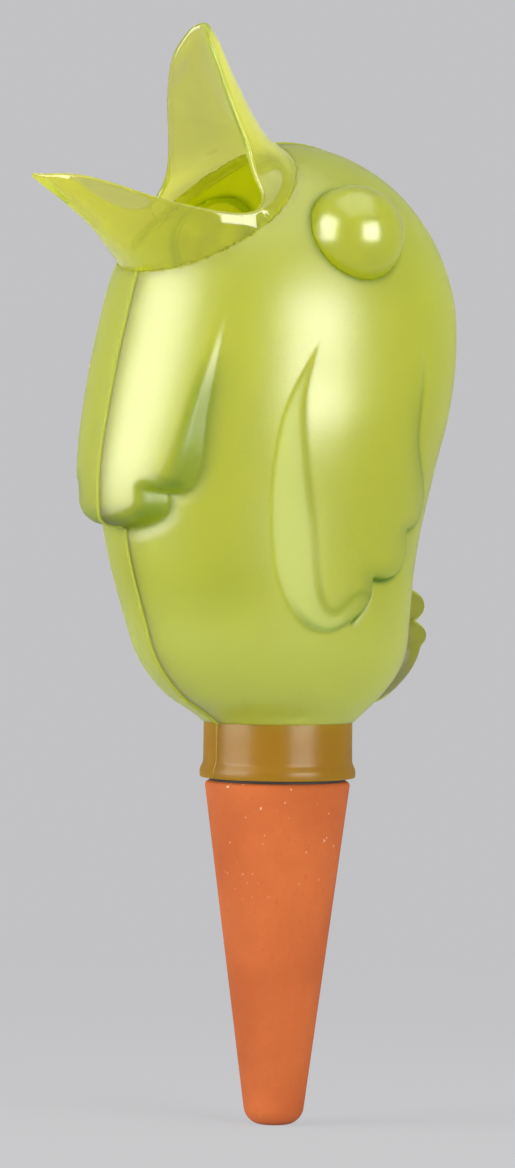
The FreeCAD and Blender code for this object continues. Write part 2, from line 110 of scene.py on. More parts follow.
# The wing: its leading edge and its scalloped trailing edge, as (sideways from the front, height),
# then how wide the bevel behind the leading edge is at each height.
WING_LEADING = [(13.6, 173.0), (17.9, 164.6), (20.2, 159.8), (22.5, 147.0), (22.3, 136.7),
                (21.4, 129.1), (19.5, 121.0), (15.8, 113.8), (10.8, 109.4), (5.4, 108.6),
                (-0.1, 111.2)]
WING_TRAILING = [
    [(-0.1, 111.2), (-3.6, 115.3), (-4.0, 120.3)],
    [(-4.0, 120.3), (-8.3, 119.9), (-12.6, 121.0), (-15.3, 124.6), (-14.6, 130.2)],
    [(-14.6, 130.2), (-19.4, 132.1), (-21.2, 135.8), (-17.8, 143.3), (-14.0, 151.3), (-13.9, 158.5),
     (-14.6, 167.0), (-14.0, 173.0)],
]
WING_BEVEL = [(105, 3.4), (110, 3.9), (115, 5.2), (121, 6.7), (129, 7.6), (140, 6.2), (150, 4.2),
              (158, 2.3), (165, 0.9), (175, 0.6)]
# The wing's relief runs out upward: height and share of the relief.
WING_FADE = [(100, 1.0), (148, 1.0), (156, 0.82), (163, 0.45), (169, 0.12), (173, 0.0), (230, 0.0)]
WING_CORNERS = (-30, 95), (32, 185)
WING_FRONT_RISE = 3.2
WING_RISE_DROP = 1.3
WING_STEP_WIDTH = 0.9
WING_GROOVE_WIDTH = 2.0
WING_GROOVE_DEPTH = 0.5

# The tail: feathers as ellipsoids, with the centre's reach to the back and height, half length,
# half height and half width, and slope in degrees.
TAIL_FEATHERS = [
    (29.6, 112.9, 9.3, 4.2, 4.4, 0.0),
    (29.2, 106.4, 10.2, 4.0, 5.2, 0.0),
    (30.1, 99.8, 10.0, 4.2, 4.7, 45.0),
]

# The beak stands on a tilted ring on the head. In its own directions, keelward is across it
# towards the lower beak's keel and upward is along it, out of the head.
BEAK_TILT = math.radians(36.8)
BEAK_ROOT = (0.0, -21.2, 199.6)
BEAK_LENGTH = 33.0
BEAK_START = -4
# Upward, reach to the keel or ridge, and half width.
LOWER_BEAK = [(-4, 22.2, 21.8), (0, 22.2, 21.8), (6, 23.5, 20.8), (10, 24.5, 19.5),
              (16, 26.2, 16.5), (20, 27.6, 13.5), (24, 29.1, 10.2), (28, 30.7, 6.8),
              (33, 32.6, 3.6)]
UPPER_BEAK = [(-4, 22.2, 21.8), (0, 22.2, 21.8), (3.6, 21.0, 18.9), (10, 20.2, 16.9),
              (17, 21.0, 15.7), (24, 22.2, 14.3), (29, 23.5, 12.0), (33, 24.2, 7.5)]
# The rim of the open beak seen from the side, from the lower tip round the corner of the mouth
# to the upper tip: keelward and upward.
BEAK_RIM = [(31.7, 33.0), (30.2, 31.7), (25.4, 28.2), (21.5, 24.0), (16.1, 15.8), (8.5, 6.2),
            (3.0, 1.6), (0.0, 0.6), (-2.8, 1.5), (-5.3, 4.6), (-8.5, 10.2), (-11.3, 17.0),
            (-15.65, 26.0), (-18.0, 29.6), (-21.0, 32.3), (-22.0, 33.0)]


def smooth_line(points):
    """Values at every twentieth of a millimetre on a smooth line through (place, value) points."""
    at, value = (np.array(column, float) for column in zip(*points))
    step = np.diff(at)
    rise = np.diff(value) / step
    count = len(at)
    matrix = np.eye(count)
    right = np.zeros(count)
    for k in range(1, count - 1):
        matrix[k, k - 1:k + 2] = step[k - 1], 2 * (step[k - 1] + step[k]), step[k]
        right[k] = 6 * (rise[k] - rise[k - 1])
    bend = np.linalg.solve(matrix, right)
    place = np.arange(at[0], at[-1] + LINE_STEP / 2, LINE_STEP)
    k = np.clip(np.searchsorted(at, place) - 1, 0, count - 2)
    before, after = place - at[k], at[k + 1] - place
    line = (bend[k] * after ** 3 + bend[k + 1] * before ** 3) / (6 * step[k])
    line += (value[k] / step[k] - bend[k] * step[k] / 6) * after
    line += (value[k + 1] / step[k] - bend[k + 1] * step[k] / 6) * before
    return place, line


def read_line(line, place):
    """The values of a line at places, held past its ends."""
    return np.interp(place, line[0], line[1])


def smooth_path(points, pieces=12):
    """Points on a smooth path through points in the plane."""
    points = np.array(points, float)
    along = np.concatenate([[0], np.cumsum(np.linalg.norm(np.diff(points, axis=0), axis=1))])
    fine = np.linspace(0, along[-1], pieces * len(points))
    columns = [read_line(smooth_line(list(zip(along, points[:, k]))), fine) for k in (0, 1)]
    return np.stack(columns, axis=1)


class Chart:
    """Distances in a plane on a fine chart, read between its marks."""

    STEP = 0.25

    def __init__(self, low, high):
        self.low = low
        self.shape = [int(math.ceil((high[k] - low[k]) / self.STEP)) + 1 for k in (0, 1)]
        axes = [low[k] + self.STEP * np.arange(self.shape[k]) for k in (0, 1)]
        self.grid = np.stack(np.meshgrid(*axes, indexing="ij"), axis=-1)

    def to_path(self, path):
        """Fill the chart with the distance to a path."""
        self.marks = self.nearest(path)
        return self

    def to_outline(self, outline):
        """Fill the chart with the distance to a closed outline, below zero inside."""
        closed = np.vstack([outline, outline[:1]])
        u, v = self.grid[..., 0], self.grid[..., 1]
        inside = np.zeros(u.shape, bool)
        for (u0, v0), (u1, v1) in zip(closed[:-1], closed[1:]):
            if v0 == v1:
                continue
            crosses = (v0 > v) != (v1 > v)
            inside ^= crosses & (u < (u1 - u0) * (v - v0) / (v1 - v0) + u0)
        self.marks = np.where(inside, -1, 1) * self.nearest(closed)
        return self

    def nearest(self, path):
        """The distance from every mark of the chart to a path."""
        best = np.full(self.grid.shape[:2], FAR)
        for start, end in zip(path[:-1], path[1:]):
            run = end - start
            length = run @ run
            if length < 1e-12:
                continue
            from_start = self.grid - start
            share = np.clip(from_start @ run / length, 0, 1)
            off = from_start - share[..., None] * run
            best = np.minimum(best, (off ** 2).sum(axis=-1))
        return np.sqrt(best)

    def read(self, u, v):
        """The chart's values at places, held past its ends."""
        a = np.clip((u - self.low[0]) / self.STEP, 0, self.shape[0] - 1.001)
        b = np.clip((v - self.low[1]) / self.STEP, 0, self.shape[1] - 1.001)
        i, j = a.astype(int), b.astype(int)
        a, b = a - i, b - j
        m = self.marks
        return ((m[i, j] * (1 - b) + m[i, j + 1] * b) * (1 - a)
                + (m[i + 1, j] * (1 - b) + m[i + 1, j + 1] * b) * a)


def joined(a, b, rounding):
    """Two solids as one, with a fillet where they meet."""
    blend = np.maximum(rounding - np.abs(a - b), 0) / rounding
    return np.minimum(a, b) - blend ** 2 * rounding / 4


def shared(a, b, rounding):
    """What lies in both solids, with its edges rounded."""
    return -joined(-a, -b, rounding)


def cut(a, b, rounding):
    """A solid with another cut away, with its edges rounded."""
    return shared(a, -b, rounding)


def ease(t):
    """From 0 to 1 with a soft start and end."""
    t = np.clip(t, 0, 1)
    return t * t * (3 - 2 * t)


def body_lines():
    """The body's half length in squares, its middle, and its length over its width, by height.

    The squares run on below zero above the crown, so that the body closes round there."""
    levels = [(level * BODY_HEIGHT + BODY_FOOT, (front + back) / 2 * BODY_LENGTH,
               (back - front) / 2 * BODY_LENGTH, side * BODY_WIDTH)
              for level, front, back, side in BODY_SECTIONS]
    length = smooth_line([(z, a * a) for z, a, c, b in levels])
    middle = smooth_line([(z, c) for z, a, c, b in levels])
    ratio = smooth_line([(z, a / b) for z, a, c, b in levels])
    return length, middle, ratio


BODY_LENGTH_LINE, BODY_MIDDLE_LINE, BODY_RATIO_LINE = body_lines()
BODY_SLOPE_LINE = (BODY_LENGTH_LINE[0], np.gradient(BODY_LENGTH_LINE[1], LINE_STEP))
BIB_RISE_LINE = smooth_line(BIB_RISE)
WING_BEVEL_LINE = smooth_line(WING_BEVEL)
WING_FADE_LINE = smooth_line(WING_FADE)

bib_outline = np.vstack([smooth_path(part) for part in BIB_EDGE] + [[(-6.0, 190.0)]])
BIB_CHART = Chart((-6, 105), (40, 200)).to_outline(bib_outline)
wing_leading = smooth_path(WING_LEADING)
wing_trailing = np.vstack([smooth_path(part) for part in WING_TRAILING])
WING_CHART = Chart(*WING_CORNERS).to_outline(np.vstack([wing_leading, wing_trailing]))
WING_LEAD_CHART = Chart(*WING_CORNERS).to_path(wing_leading)
WING_TRAIL_CHART = Chart(*WING_CORNERS).to_path(wing_trailing)
MOUTH_CHART = Chart((-45, -10), (50, 60)).to_outline(
    np.vstack([smooth_path(BEAK_RIM), [(-22.0, 70.0), (60.0, 70.0), (60.0, 33.0)]]))


def bib_rise(x, z, inset):
    """How far the breast feathers stand out; their edge is a rounded shoulder in a shallow groove.

    Shoulder and groove are wider, and the groove is deeper, low on the breast."""
    edge = BIB_CHART.read(x, z) + inset * 1.1
    low = ease((150 - z) / 9)
    shoulder_width, groove_width, groove_depth = 2.1 + 0.7 * low, 2.6 + 1.4 * low, 0.05 + 0.4 * low
    shoulder = np.sqrt(np.clip(1 - (1 - np.clip((0.2 - edge) / shoulder_width, 0, 1)) ** 2, 0, 1))
    shoulder = shoulder * ease((0.2 - edge) / 0.8)
    rise = read_line(BIB_RISE_LINE, z) * shoulder
    if inset == 0:
        groove = np.cos(np.clip(edge / groove_width, 0, 1) * math.pi / 2) ** 2 * (edge > 0)
        rise = rise - groove_depth * groove * ease((184 - z) / 12)
    return rise


def wing_rise(y, z, inset):
    """How far the wing stands out: a bevel behind its leading edge, a step at its trailing edge."""
    forward = -y
    inside = WING_CHART.read(forward, z) < 0
    lead = WING_LEAD_CHART.read(forward, z)
    trail = WING_TRAIL_CHART.read(forward, z)
    if inset:
        lead, trail = lead - inset * 0.6, trail - inset
    bevel = np.clip(lead / read_line(WING_BEVEL_LINE, z), 0, None)
    bevel = joined(bevel, np.ones_like(bevel), 0.25)
    step = ease(trail / WING_STEP_WIDTH)
    drop = WING_RISE_DROP * np.clip(lead, 0, None) / np.maximum(lead + trail, 0.01)
    face = WING_FRONT_RISE - drop
    rise = face * np.minimum(np.clip(bevel, 0, 1), step) * read_line(WING_FADE_LINE, z)
    rise = np.where(inside, np.maximum(rise, 0), 0)
    if inset == 0:
        groove = ~inside * np.cos(np.clip(trail / WING_GROOVE_WIDTH, 0, 1) * math.pi / 2) ** 2
        rise = rise - WING_GROOVE_DEPTH * groove * read_line(WING_FADE_LINE, z)
    return rise


def body_field(x, y, z, inset):
    """The body from the neck to the crown, inset evenly."""
    x = np.abs(x)
    height = BODY_FOOT + (z - BODY_FOOT - inset) * BODY_HEIGHT / (BODY_HEIGHT - 2 * inset)
    square = read_line(BODY_LENGTH_LINE, height)
    top = BODY_LENGTH_LINE[0][-1]
    slope = read_line(BODY_SLOPE_LINE, height)
    square = square + slope * np.clip(height - top, 0, None)
    half = np.sign(square) * np.sqrt(np.abs(square))
    ratio = read_line(BODY_RATIO_LINE, height)
    bib = bib_rise(x, z, inset)
    wing = wing_rise(y, z, inset)
    length = half + bib / 2 - inset
    width = half / ratio + wing - inset
    middle = read_line(BODY_MIDDLE_LINE, height) - bib / 2
    squeeze = np.where(width > 3, length / np.maximum(width, 3), ratio) ** 2
    across = y - middle
    field = across ** 2 + squeeze * x ** 2 - length * np.abs(length)
    steepness = np.sqrt(4 * across ** 2 + 4 * (squeeze * x) ** 2 + slope ** 2)
    return field / np.maximum(steepness, 4.0)


def eye_field(x, y, z, inset):
    """The ball of the eye dome."""
    return np.sqrt((np.abs(x) - EYE_CENTRE[0]) ** 2 + (y - EYE_CENTRE[1]) ** 2
                   + (z - EYE_CENTRE[2]) ** 2) - EYE_RADIUS + inset


def tail_field(x, y, z):
    """The feathers of the tail."""
    whole = None
    for back, level, length, height, width, slope in TAIL_FEATHERS:
        turn = math.radians(slope)
        along = (y - back) * math.cos(turn) + (z - level) * math.sin(turn)
        above = (z - level) * math.cos(turn) - (y - back) * math.sin(turn)
        size = np.sqrt((along / length) ** 2 + (above / height) ** 2 + (x / width) ** 2)
        steep = np.sqrt((along / length ** 2) ** 2 + (above / height ** 2) ** 2
                        + (x / width ** 2) ** 2)
        feather = (size - 1) * size / np.maximum(steep, 0.02)
        whole = feather if whole is None else joined(whole, feather, 0.5)
    return whole


def beak_place(y, z):
    """Keelward and upward of a place."""
    forward, up = BEAK_ROOT[1] - y, z - BEAK_ROOT[2]
    return (forward * math.cos(BEAK_TILT) - up * math.sin(BEAK_TILT),
            forward * math.sin(BEAK_TILT) + up * math.cos(BEAK_TILT))


BEAK_LINES = [(smooth_line([(up, reach) for up, reach, half in table]),
               smooth_line([(up, half) for up, reach, half in table]))
              for table in (LOWER_BEAK, UPPER_BEAK)]


def beak_field(x, y, z, inset):
    """The funnel of the beak, inset evenly, from inside the head to its tips."""
    keelward, upward = beak_place(y, z)
    lower = keelward > 0
    (lower_reach, lower_half), (upper_reach, upper_half) = BEAK_LINES
    reach = np.where(lower, read_line(lower_reach, upward), read_line(upper_reach, upward)) - inset
    half = np.where(lower, read_line(lower_half, upward), read_line(upper_half, upward)) - inset
    half = np.maximum(half, 0.5)
    power = np.where(lower, 2 - 0.28 * ease(upward / 14), 2.0)
    s, l = np.abs(keelward) / reach, np.abs(x) / half
    size = (s ** power + l ** power) ** (1 / power)
    size = np.maximum(size, 1e-3)
    steep = np.sqrt((s / size) ** (2 * power - 2) / reach ** 2
                    + (l / size) ** (2 * power - 2) / half ** 2)
    return (size - 1) / np.maximum(steep, 0.01)


def hollow_field(x, y, z):
    """The hollow of the body with the bore of the neck."""
    bore = shared(np.hypot(x, y) - NECK_RADIUS + WALL, z - BODY_FOOT - BORE_REACH, NECK_ROUND)
    return joined(body_field(x, y, z, WALL), bore, 1.0)


def body_and_tail(x, y, z):
    """The outside of the body with its tail."""
    return joined(body_field(x, y, z, 0.0), tail_field(x, y, z), TAIL_FILLET)


def shell_piece(x, y, z):
    """The satin skin of the body, open at the neck, the eyes and the beak."""
    form = shared(body_and_tail(x, y, z), BODY_FOOT - z, NECK_ROUND)
    form = cut(form, hollow_field(x, y, z), EDGE_ROUND)
    form = cut(form, eye_field(x, y, z, SEAT), EDGE_ROUND)
    keelward, upward = beak_place(y, z)
    funnel = shared(beak_field(x, y, z, SEAT), BEAK_START - upward, FINE_ROUND)
    return cut(form, funnel, EDGE_ROUND)


def beak_piece(x, y, z):
    """The polished beak with its open mouth."""
    keelward, upward = beak_place(y, z)
    form = cut(beak_field(x, y, z, 0.0), beak_field(x, y, z, BEAK_WALL), 0.25)
    form = shared(form, BEAK_START - upward, FINE_ROUND)
    form = shared(form, upward - BEAK_LENGTH, 1.2)
    form = cut(form, MOUTH_CHART.read(keelward, upward), 0.5)
    return cut(form, hollow_field(x, y, z), FINE_ROUND)


def eye_piece(x, y, z):
    """The polished eye dome."""
    form = cut(eye_field(x, y, z, 0.0), eye_field(x, y, z, WALL), FINE_ROUND)
    return cut(form, hollow_field(x, y, z), FINE_ROUND)


def with_slope(field, points):
    """The field and its slope at points."""
    slope = np.empty_like(points)
    for axis in range(3):
        ahead, behind = points.copy(), points.copy()
        ahead[:, axis] += SLOPE_STEP
        behind[:, axis] -= SLOPE_STEP
        slope[:, axis] = (field(*ahead.T) - field(*behind.T)) / (2 * SLOPE_STEP)
    return field(*points.T), slope


def settle(field, points, middle, rounds):
    """Move points onto the surface of a field; those on the middle plane stay on it."""
    for _ in range(rounds):
        value, slope = with_slope(field, points)
        move = slope * (value / np.maximum((slope ** 2).sum(axis=1), 0.05))[:, None]
        length = np.linalg.norm(move, axis=1)
        move *= np.minimum(1, LONGEST_MOVE / np.maximum(length, 1e-9))[:, None]
        move[middle, 0] = 0
        points = points - move
    return points


def skin(field, low, high, cell, from_middle):
    """Points and four-sided faces of the surface of a field within a box.

    With from_middle the skin starts at the middle plane, with its border exactly on it."""
    axes = [np.arange(low[k], high[k] + cell, cell) for k in range(3)]
    if from_middle:
        axes[0] = (np.arange(int(high[0] / cell) + 2) - 0.5) * cell
    counts = [len(axis) for axis in axes]
    value = np.empty(counts)
    y, z = np.meshgrid(axes[1], axes[2], indexing="ij")
    for i, x in enumerate(axes[0]):
        value[i] = field(np.full_like(y, x), y, z)
    inside = value < 0
    total = np.zeros([n - 1 for n in counts], np.int8)
    for i in (0, 1):
        for j in (0, 1):
            for k in (0, 1):
                total += inside[i:counts[0] - 1 + i, j:counts[1] - 1 + j, k:counts[2] - 1 + k]
    active = (total > 0) & (total < 8)
    number = np.full(active.shape, -1)
    number[active] = np.arange(active.sum())
    sums = np.zeros((active.sum(), 3))
    hits = np.zeros(active.sum())
    faces = []
    for axis in range(3):
        b, c = (axis + 1) % 3, (axis + 2) % 3
        first = [slice(None)] * 3
        second = [slice(None)] * 3
        first[axis], second[axis] = slice(0, -1), slice(1, None)
        crossing = inside[tuple(first)] != inside[tuple(second)]
        place = np.argwhere(crossing)
        v0, v1 = value[tuple(first)][crossing], value[tuple(second)][crossing]
        spot = np.stack([axes[k][place[:, k]] for k in range(3)], axis=1)
        spot[:, axis] += cell * v0 / (v0 - v1)
        corners = []
        for db, dc in ((0, 0), (1, 0), (1, 1), (0, 1)):
            cell_at = place.copy()
            cell_at[:, b] -= db
            cell_at[:, c] -= dc
            valid = np.all((cell_at >= 0) & (cell_at < np.array(active.shape)), axis=1)
            index = np.full(len(place), -1)
            index[valid] = number[tuple(cell_at[valid].T)]
            np.add.at(sums, index[index >= 0], spot[index >= 0])
            np.add.at(hits, index[index >= 0], 1)
            corners.append(index)
        quads = np.stack(corners, axis=1)
        quads[v0 > 0] = quads[v0 > 0][:, ::-1]
        faces.append(quads[np.all(quads >= 0, axis=1)])
    points = sums / np.maximum(hits, 1)[:, None]
    faces = np.vstack(faces)
    middle = np.argwhere(active)[:, 0] == 0 if from_middle else np.zeros(len(points), bool)
    points[middle, 0] = 0
    return points, faces, middle


def even_out(field, points, faces, middle, rounds):
    """Even the spacing of the points along the surface."""
    edges = np.vstack([faces[:, [k, (k + 1) % 4]] for k in range(4)])
    edges = np.unique(np.sort(edges, axis=1), axis=0)
    on_border = middle[edges[:, 0]] & middle[edges[:, 1]]
    count = len(points)
    for _ in range(rounds):
        total = np.zeros((count, 3))
        near = np.zeros(count)
        for a, b in ((0, 1), (1, 0)):
            use = ~middle[edges[:, a]] | on_border
            for k in range(3):
                total[:, k] += np.bincount(edges[use, a], points[edges[use, b], k], count)
            near += np.bincount(edges[use, a], minlength=count)
        move = 0.5 * (total / np.maximum(near, 1)[:, None] - points)
        points = settle(field, points + move, middle, 1)
        points[middle, 0] = 0
    return settle(field, points, middle, 2)


def placed(name, data):
    """An object with its data, in the scene."""
    thing = bpy.data.objects.new(name, data)
    bpy.context.scene.collection.objects.link(thing)
    return thing


def mesh_object(name, points, faces, flip=False):
    """A smooth-shaded object from points in millimetres."""
    mesh = bpy.data.meshes.new(name)
    points = np.array(points, float) * MM
    if flip:
        points = points * (-1, 1, 1)
        faces = [tuple(reversed(face)) for face in faces]
    mesh.from_pydata(points.tolist(), [], faces)
    mesh.update()
    mesh.shade_smooth()
    return placed(name, mesh)


# The flat faces of a half piece have its second material.
JOINT_MATERIAL = 1


def close_middle(piece):
    """Close the open side of a half piece with flat faces on the middle plane."""
    shape = bmesh.new()
    shape.from_mesh(piece.data)
    border = [edge for edge in shape.edges if edge.is_boundary]
    filled = bmesh.ops.triangle_fill(shape, edges=border, use_beauty=False)
    for edge in border:
        edge.smooth = False
    flat = [face for face in filled["geom"] if isinstance(face, bmesh.types.BMFace)]
    for face in flat:
        face.smooth = False
        face.material_index = JOINT_MATERIAL
    bmesh.ops.recalc_face_normals(shape, faces=flat)
    outward = 1 if piece.name.startswith("right") else -1
    for face in flat:
        if face.normal.x * outward < 0:
            face.normal_flip()
    shape.to_mesh(piece.data)
    shape.free()


def even_skin(field, low, high, cell, from_middle):
    """The skin of a field, settled on its surface and evenly spaced."""
    points, faces, middle = skin(field, low, high, cell, from_middle)
    points = settle(field, points, middle, 3)
    return even_out(field, points, faces, middle, 4), faces, middle


def both_sides(name, field, low, high, cell, from_middle):
    """The left piece and its mirror image."""
    points, faces, middle = even_skin(field, low, high, cell, from_middle)
    pieces = [mesh_object(f"left_{name}", points, faces.tolist()),
              mesh_object(f"right_{name}", points, faces.tolist(), flip=True)]
    if from_middle:
        for piece in pieces:
            close_middle(piece)
    return pieces


def whole_piece(name, field, low, high, cell):
    """A piece over both sides in one, from a half and its mirror image."""
    points, faces, middle = even_skin(field, low, high, cell, True)
    partner = np.arange(len(points)) + len(points)
    partner[middle] = np.flatnonzero(middle)
    mirrored = points * [-1, 1, 1]
    other_faces = partner[faces][:, ::-1]
    piece = mesh_object(name, np.vstack([points, mirrored]), faces.tolist() + other_faces.tolist())
    shape = bmesh.new()
    shape.from_mesh(piece.data)
    loose = [vert for vert in shape.verts if not vert.link_faces]
    bmesh.ops.delete(shape, geom=loose, context="VERTS")
    shape.to_mesh(piece.data)
    shape.free()
    return piece


shells = both_sides("body_shell", shell_piece, (0, -50, 87), (40, 42, 216), BODY_CELL, True)
beak = whole_piece("beak", beak_piece, (0, -70, 180), (26, 2, 243), FINE_CELL)
eyes = both_sides("eye", eye_piece, (14, -13, 182), (40, 11, 207), FINE_CELL, False)


def turned_piece(name, outline, start, end, steps=96):
    """A piece turned about the neck's axis from a closed outline of (radius, height) points."""
    points = [(r * math.cos(a), r * math.sin(a), z)
              for a in np.linspace(start, end, steps + 1) for r, z in outline]
    count = len(outline)
    faces = []
    for row in range(steps):
        low, high = row * count, (row + 1) * count
        for k in range(count):
            n = (k + 1) % count
            faces.append((low + k, high + k, high + n, low + n))
    faces.append(tuple(range(count)))
    faces.append(tuple(steps * count + k for k in reversed(range(count))))
    piece = mesh_object(name, points, faces)
    shape = bmesh.new()
    shape.from_mesh(piece.data)
    bmesh.ops.remove_doubles(shape, verts=shape.verts, dist=TOUCHING)
    bmesh.ops.recalc_face_normals(shape, faces=shape.faces)
    shape.to_mesh(piece.data)
    shape.free()
    return piece


def rounded(points, radius, pieces=5):
    """A closed outline with its corners rounded."""
    result = []
    count = len(points)
    for k in range(count):
        before, here, after = (np.array(points[(k + d) % count], float) for d in (-1, 0, 1))
        to_before, to_after = before - here, after - here
        reach = min(radius, np.linalg.norm(to_before) / 2.05, np.linalg.norm(to_after) / 2.05)
        start = here + to_before / np.linalg.norm(to_before) * reach
        end = here + to_after / np.linalg.norm(to_after) * reach
        for t in np.linspace(0, 1, pieces):
            result.append(tuple((1 - t) ** 2 * start + 2 * t * (1 - t) * here + t ** 2 * end))
    return result


def mark_painted_shade_and_light(piece):
    """Keep on a half shell's corners its painted shade in creases, where its plastic is thick, and
    its painted light.
    """
    mesh = piece.data
    place = np.empty(len(mesh.vertices) * 3)
    mesh.vertices.foreach_get("co", place)
    x, y, z = place.reshape(-1, 3).T / MM
    x = np.abs(x)

    def line(distance, width):
        return np.exp(-(distance / width) ** 2)

    def keep(name, values):
        mesh.attributes.new(name, "FLOAT", "POINT").data.foreach_set("value", values)

    lead, trail = WING_LEAD_CHART.read(-y, z), WING_TRAIL_CHART.read(-y, z)
    side = (x > 14) * (z < 171)
    inside = WING_CHART.read(-y, z) < 0
    fade = ease((168 - z) / 14)
    on_wing = side * inside * fade
    behind_crest = lead - read_line(WING_BEVEL_LINE, z)
    breast = (y < -8) * (z > 128) * ease((173 - z) / 14)
    tail = ease((y - 31) / 3) * (z < 119)
    # Painted light: a paler band round the lower body.
    painted_low_glow = ease((122 - z) / 18) * (1 - tail)
    low_wing = side * inside * ease((118 - z) / 8)
    # Painted shade, a dark green, in turn: behind the wing's trailing edge, round the eye, along
    # the crest of the wing's bevel, inside its lower end, at the edge of the breast feathers, and
    # on the tail.
    painted_crease_shades = [line(trail, 0.8 + 0.2 * ease((z - 128) / 6)) * side * fade,
               0.45 * line(eye_field(x, y, z, 0.0) - 0.2, 0.8) * (x > 14),
               0.26 * line(behind_crest - 0.4, 0.6) * on_wing * (trail > 1),
               0.45 * line(lead - 0.9, 0.7) * low_wing * (trail > 1),
               0.6 * line(BIB_CHART.read(x, z) + 0.5, 1.5) * breast,
               0.22 * tail]
    # A painted highlight on the wing's bevel, fading towards the back.
    bevel = ease(-behind_crest / 1.2) * ease(lead / 0.8) * ease(trail / 2)
    bevel = bevel * ease((1 - y) / 9) * on_wing
    keep("painted_crease_shade", np.max(painted_crease_shades, axis=0))
    keep("thick", tail)
    # Painted light: the highlight on the bevel, the glow low on the body and a little on the tail.
    keep("painted_light", np.max([bevel, 0.4 * painted_low_glow, 0.15 * tail], axis=0))


def seam_runs(piece):
    """The outer runs of a half piece's border on the middle plane, from end to end."""
    shape = bmesh.new()
    shape.from_mesh(piece.data)
    near, place = {}, {}
    for edge in shape.edges:
        if not edge.smooth and max(abs(vert.co.x) for vert in edge.verts) < TOUCHING:
            for one, other in (edge.verts, reversed(edge.verts)):
                near.setdefault(one.index, []).append(other.index)
                place[one.index] = (one.co.y / MM, one.co.z / MM)
    shape.free()
    index = list(near)
    y, z = np.array([place[k] for k in index]).T
    off = np.abs(body_and_tail(np.zeros_like(y), y, z))
    waiting = {k for k, value in zip(index, off) if value < SEAM_NEAR}
    runs = []
    while waiting:
        chain = [waiting.pop()]
        for end in (0, -1):
            while True:
                following = [k for k in near[chain[end]] if k in waiting]
                if not following:
                    break
                waiting.discard(following[0])
                chain.insert(0 if end == 0 else len(chain), following[0])
        if len(chain) > SEAM_SHORTEST:
            runs.append([place[k] for k in chain])
    return runs


def swept_tree(name, material):
    """A tree of nodes that sweeps a round bead along the lines of a piece."""
    tree = bpy.data.node_groups.new(name, "GeometryNodeTree")
    tree.interface.new_socket("Geometry", in_out="INPUT", socket_type="NodeSocketGeometry")
    for label in ("Bead Radius", "Spacing"):
        tree.interface.new_socket(label, in_out="INPUT", socket_type="NodeSocketFloat")
    tree.interface.new_socket("Geometry", in_out="OUTPUT", socket_type="NodeSocketGeometry")
    add, link = tree.nodes.new, tree.links.new
    start, end = add("NodeGroupInput"), add("NodeGroupOutput")
    path = add("GeometryNodeMeshToCurve")
    even = add("GeometryNodeResampleCurve")
    even.mode = "LENGTH"
    section = add("GeometryNodeCurvePrimitiveCircle")
    section.inputs["Resolution"].default_value = 10
    sweep = add("GeometryNodeCurveToMesh")
    sweep.inputs["Fill Caps"].default_value = True
    smooth = add("GeometryNodeSetShadeSmooth")
    realize = add("GeometryNodeRealizeInstances")
    coat = add("GeometryNodeSetMaterial")
    coat.inputs["Material"].default_value = material
    link(start.outputs["Geometry"], path.inputs["Mesh"])
    link(path.outputs["Curve"], even.inputs["Curve"])
    link(start.outputs["Spacing"], even.inputs["Length"])
    link(start.outputs["Bead Radius"], section.inputs["Radius"])
    link(even.outputs["Curve"], sweep.inputs["Curve"])
    link(section.outputs["Curve"], sweep.inputs["Profile Curve"])
    link(sweep.outputs["Mesh"], smooth.inputs["Geometry"])
    link(smooth.outputs["Geometry"], realize.inputs["Geometry"])
    link(realize.outputs["Geometry"], coat.inputs["Geometry"])
    link(coat.outputs["Geometry"], end.inputs["Geometry"])
    return tree


def swept_piece(name, runs, tree, sizes):
    """A bead along runs of points, made by a tree with its sizes and turned into a plain mesh."""
    mesh = bpy.data.meshes.new(name)
    points, edges = [], []
    for run in runs:
        edges += [(len(points) + k, len(points) + k + 1) for k in range(len(run) - 1)]
        points += [tuple(c * MM for c in point) for point in run]
    mesh.from_pydata(points, edges, [])
    piece = placed(name, mesh)
    maker = piece.modifiers.new("sweep", "NODES")
    maker.node_group = tree
    for socket in tree.interface.items_tree:
        if socket.name in sizes:
            maker[socket.identifier] = sizes[socket.name]
    bpy.context.view_layer.update()
    made = piece.evaluated_get(bpy.context.evaluated_depsgraph_get())
    plain = bpy.data.meshes.new_from_object(made)
    piece.modifiers.clear()
    piece.data = plain
    return piece


def smoothed(run, rounds):
    """A run of points with its small unevenness taken out."""
    points = np.array(run, float)
    for _ in range(rounds):
        points[1:-1] = (points[:-2] + 2 * points[1:-1] + points[2:]) / 4
    return points


neck_section = rounded(NECK_OUTLINE, NECK_ROUND)
necks = [turned_piece("left_neck", neck_section, -math.pi / 2, math.pi / 2),
         turned_piece("right_neck", neck_section, math.pi / 2, 3 * math.pi / 2)]


# The places of the colours among the sockets of a mix node.
MIX_BELOW, MIX_ABOVE, MIX_RESULT = 6, 7, 2


